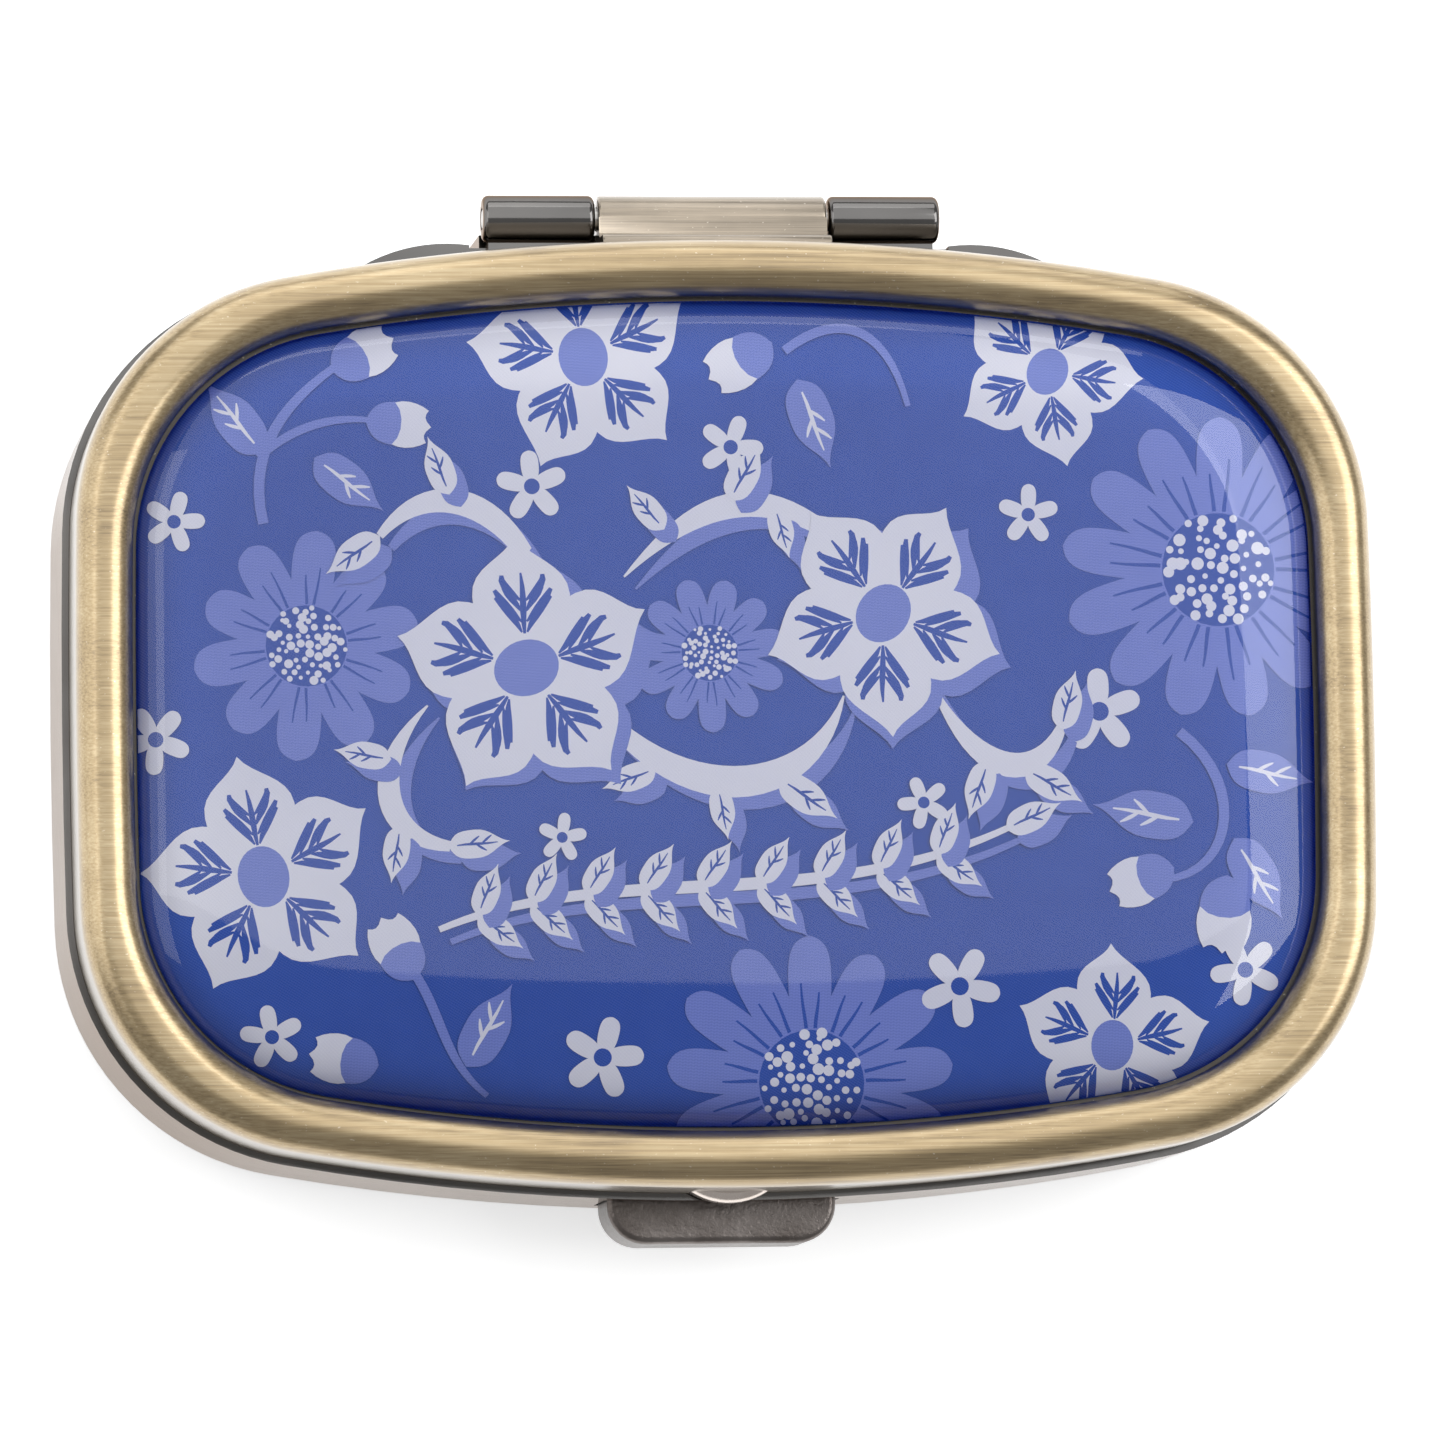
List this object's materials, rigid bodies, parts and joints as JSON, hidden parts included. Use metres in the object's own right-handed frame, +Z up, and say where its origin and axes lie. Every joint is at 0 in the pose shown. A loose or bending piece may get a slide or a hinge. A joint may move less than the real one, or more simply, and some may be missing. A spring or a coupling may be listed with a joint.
{
  "type": "pill box",
  "caption": "Pocket pill box: metal base with a divided plastic tray, hinged lid with a domed flower picture and a mirror inside, and a push-button latch.",
  "frame": {"origin": "middle of the flat underside that the closed box rests on", "axes": "+Z up, +Y towards the hinge, +X to the right seen from the button side"},
  "size_m": [0.0638, 0.051, 0.0165],
  "materials": {
    "antique_brass": "antique brass plating, brushed along X, dark patina left in low places",
    "black_nickel": "polished black nickel plating",
    "gunmetal": "fine rough cast surface with gunmetal plating",
    "nickel": "smooth pale nickel",
    "plain_steel": "zinc-plated sheet steel",
    "spring_steel": "bare spring steel",
    "printed_picture": "cobalt blue flower print, fine halftone dots",
    "clear_resin": "clear domed resin, glossy",
    "mirror_glass": "silvered glass",
    "adhesive_pad": "double-sided foam tape",
    "tray_plastic": "frosted white polypropylene"
  },
  "bodies": {
    "base": {"base_shell": "black_nickel", "hinge_plate": "black_nickel", "hinge_pin": "plain_steel", "hinge_plate_rivets": "black_nickel", "pill_tray": "tray_plastic", "tray_pad": "adhesive_pad", "latch_bracket": "plain_steel", "latch_rivets": "plain_steel", "button_spring": "spring_steel"},
    "lid": {"lid_shell": "antique_brass", "lid_print": "printed_picture", "lid_dome": "clear_resin", "lid_hinge_leaf": "antique_brass", "lid_leaf_rivets": "antique_brass", "lid_catch": "nickel", "mirror": "mirror_glass", "mirror_pad": "adhesive_pad"},
    "button": {"push_button": "gunmetal", "latch_hook": "spring_steel"}
  },
  "joints": [
    {"name": "lid_hinge", "type": "hinge", "parent": "base", "child": "lid", "pos_m": [0, 0.02458, 0.01065], "axis": [-1, 0, 0], "range_deg": [0, 110], "deforming": ["latch_hook"]},
    {"name": "button_press", "type": "slide", "parent": "base", "child": "button", "axis": [0, 1, 0], "range_m": [0, 0.0009], "stiffness_N_per_m": 1500, "springref_m": -0.0004, "deforming": ["button_spring"]}
  ]
}
